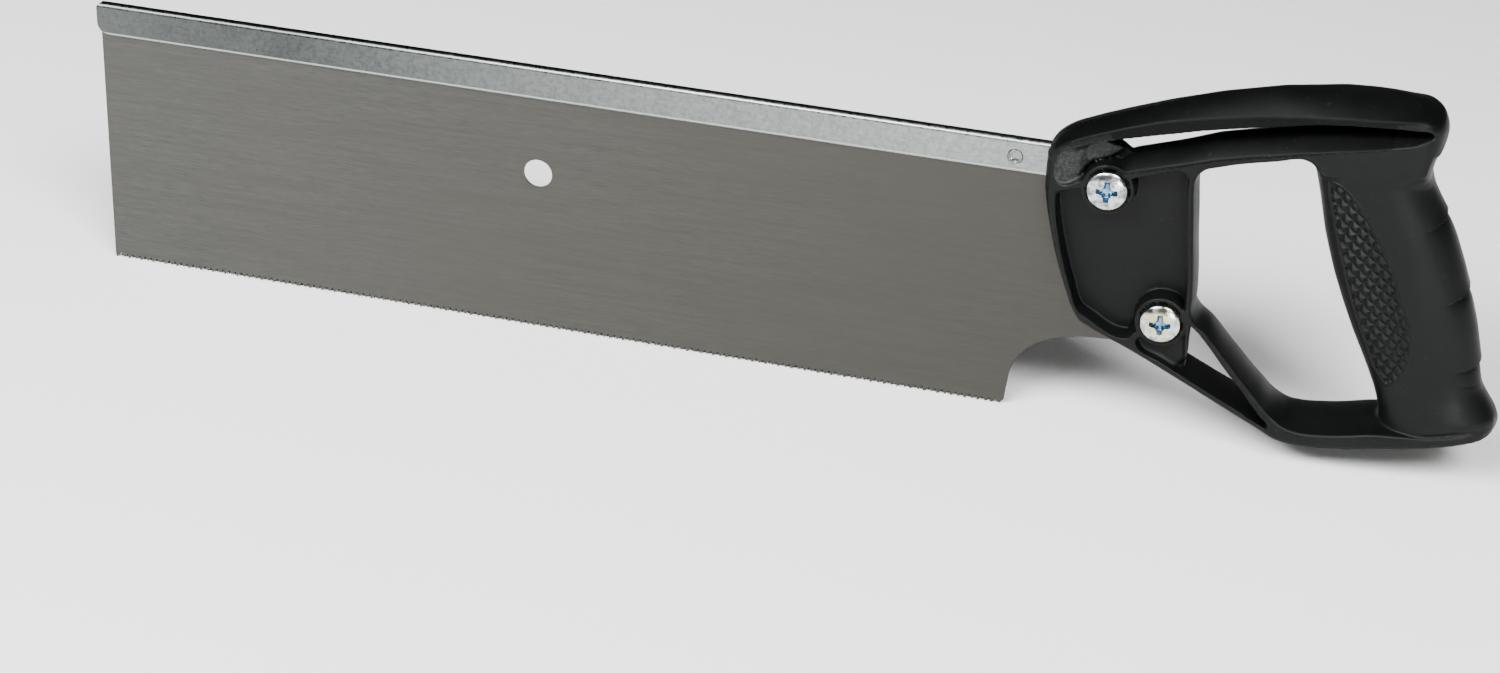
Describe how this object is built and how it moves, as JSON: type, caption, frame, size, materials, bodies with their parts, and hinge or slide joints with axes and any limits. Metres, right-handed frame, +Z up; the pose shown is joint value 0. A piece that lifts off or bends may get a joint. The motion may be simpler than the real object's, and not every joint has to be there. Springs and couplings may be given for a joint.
{
  "type": "back saw",
  "caption": "Back saw for fine joinery: thin steel blade with raked teeth, stiffened by a folded steel back and clamped in a moulded closed handle by two screws.",
  "frame": {"origin": "centre of the hanging hole in the blade, at mid-thickness of the blade", "axes": "+X along the blade from the toe to the handle, +Z up from the teeth to the back, +Y across the blade, away from the side with the screw heads"},
  "size_m": [0.531, 0.0292, 0.1433],
  "materials": {
    "blade_steel": "ground along its length, thin clear lacquer",
    "back_steel": "bright plated strip, folded",
    "rivet_steel": "bright",
    "handle_plastic": "fine moulded texture with a satin sheen",
    "zinc_fastener": "zinc plated"
  },
  "bodies": {
    "root": {"blade": "blade_steel", "folded_back": "back_steel", "back_rivet": "rivet_steel", "handle": "handle_plastic", "upper_screw": "zinc_fastener", "lower_screw": "zinc_fastener", "upper_sleeve_nut": "zinc_fastener", "lower_sleeve_nut": "zinc_fastener"}
  },
  "joints": []
}
